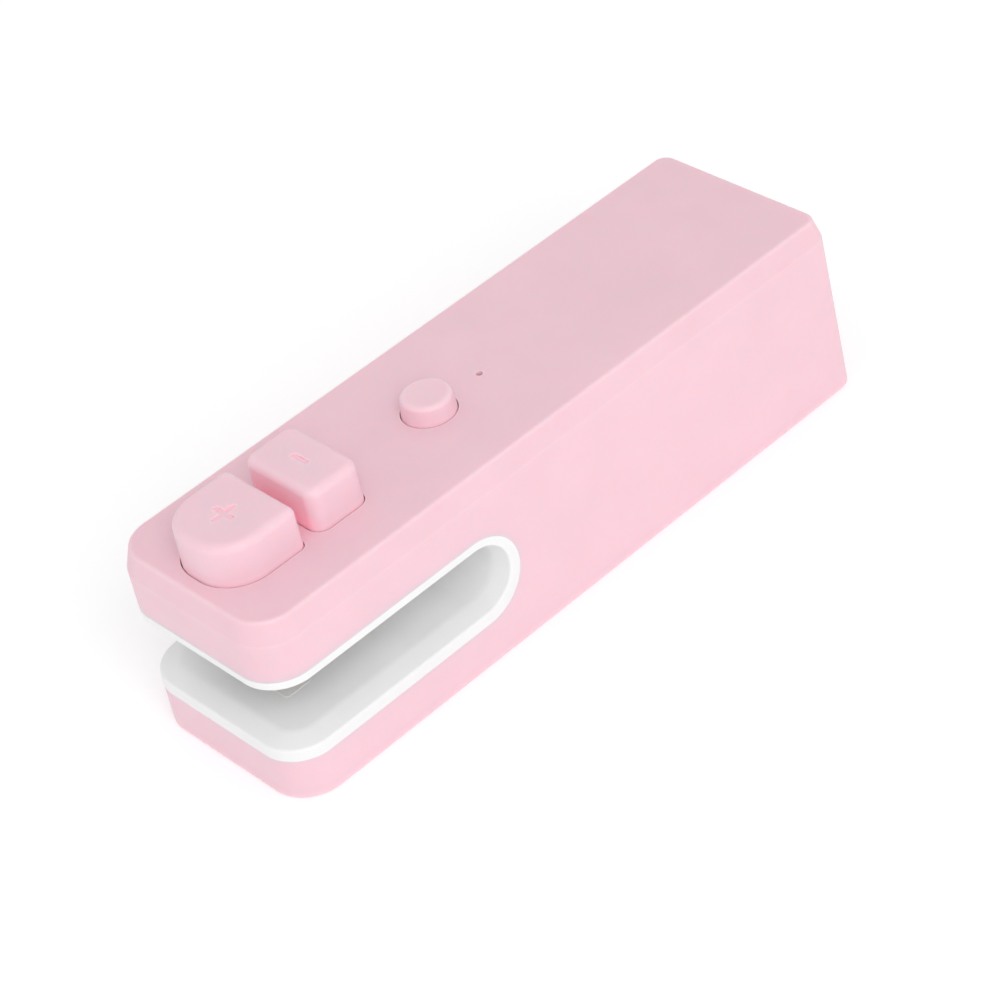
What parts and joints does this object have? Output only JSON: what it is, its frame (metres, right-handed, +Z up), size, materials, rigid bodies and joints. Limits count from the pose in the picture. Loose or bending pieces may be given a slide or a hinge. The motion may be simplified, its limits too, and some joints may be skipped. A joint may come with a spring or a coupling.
{
  "type": "handheld bag heat sealer",
  "caption": "Pocket bag sealer and cutter: a box with a lined mouth open at the front and sides, two sprung keys, a round power button and a rear charging inlet.",
  "frame": {"origin": "middle of the underside, on the surface that the sealer stands on", "axes": "+Z up through the keys, -Y towards the mouth, X across the width"},
  "size_m": [0.032, 0.11, 0.037],
  "materials": {
    "pink_shell": "soft matt moulded plastic, pastel pink",
    "pink_keys": "soft matt moulded plastic, pastel pink",
    "white_liner": "satin white moulded plastic",
    "white_nylon": "natural nylon",
    "steel_screws": "zinc-plated steel",
    "pale_silicone": "heat-proof silicone",
    "black_phenolic": "dark heat-proof moulding",
    "heater_ribbon": "resistance alloy ribbon",
    "brown_film": "coated glass cloth film",
    "spring_steel": "bright spring wire",
    "blade_steel": "ground blade steel",
    "black_switch": "black component moulding",
    "green_board": "solder-masked glass epoxy",
    "lamp": "lamp package",
    "clear_pipe": "clear acrylic",
    "socket_steel": "plated steel shell",
    "cell_sleeve": "shrink-sleeved cell",
    "nickel": "nickel strip",
    "black_wire": "insulated wire",
    "red_wire": "insulated wire"
  },
  "bodies": {
    "housing": {"body_shell": "pink_shell", "bottom_cover": "pink_shell", "cover_screws": "steel_screws", "jaw_liner": "white_liner", "silicone_pad": "pale_silicone", "cutting_anvil": "white_nylon", "guide_frame": "white_nylon", "frame_screws": "steel_screws", "seal_springs": "spring_steel", "cut_springs": "spring_steel", "press_switch": "black_switch", "main_board": "green_board", "board_screws": "steel_screws", "tact_switch": "black_switch", "charge_chip": "black_switch", "status_led": "lamp", "light_pipe": "clear_pipe", "charging_socket": "socket_steel", "socket_tongue": "black_switch", "battery_cell": "cell_sleeve", "battery_tabs": "nickel", "negative_lead": "black_wire", "positive_lead": "red_wire", "cell_clamp": "white_nylon"},
    "seal_key": {"seal_keycap": "pink_keys", "seal_plunger": "white_nylon", "heater_block": "black_phenolic", "heating_strip": "heater_ribbon", "heater_film": "brown_film", "heater_screws": "steel_screws"},
    "cut_key": {"cut_keycap": "pink_keys", "blade_carrier": "white_nylon", "cutter_blade": "blade_steel", "blade_pins": "steel_screws"},
    "power_key": {"power_button": "pink_keys", "switch_stem": "black_switch"}
  },
  "joints": [
    {"name": "seal_key_slide", "type": "slide", "parent": "housing", "child": "seal_key", "axis": [0, 0, -1], "range_m": [0, 0.0054], "stiffness_N_per_m": 350, "springref_m": -0.003, "deforming": ["seal_springs"]},
    {"name": "cut_key_slide", "type": "slide", "parent": "housing", "child": "cut_key", "axis": [0, 0, -1], "range_m": [0, 0.0056], "stiffness_N_per_m": 350, "springref_m": -0.003, "deforming": ["cut_springs"]},
    {"name": "power_button_slide", "type": "slide", "parent": "housing", "child": "power_key", "axis": [0, 0, -1], "range_m": [0, 0.0005], "stiffness_N_per_m": 1500, "springref_m": -0.0003}
  ]
}
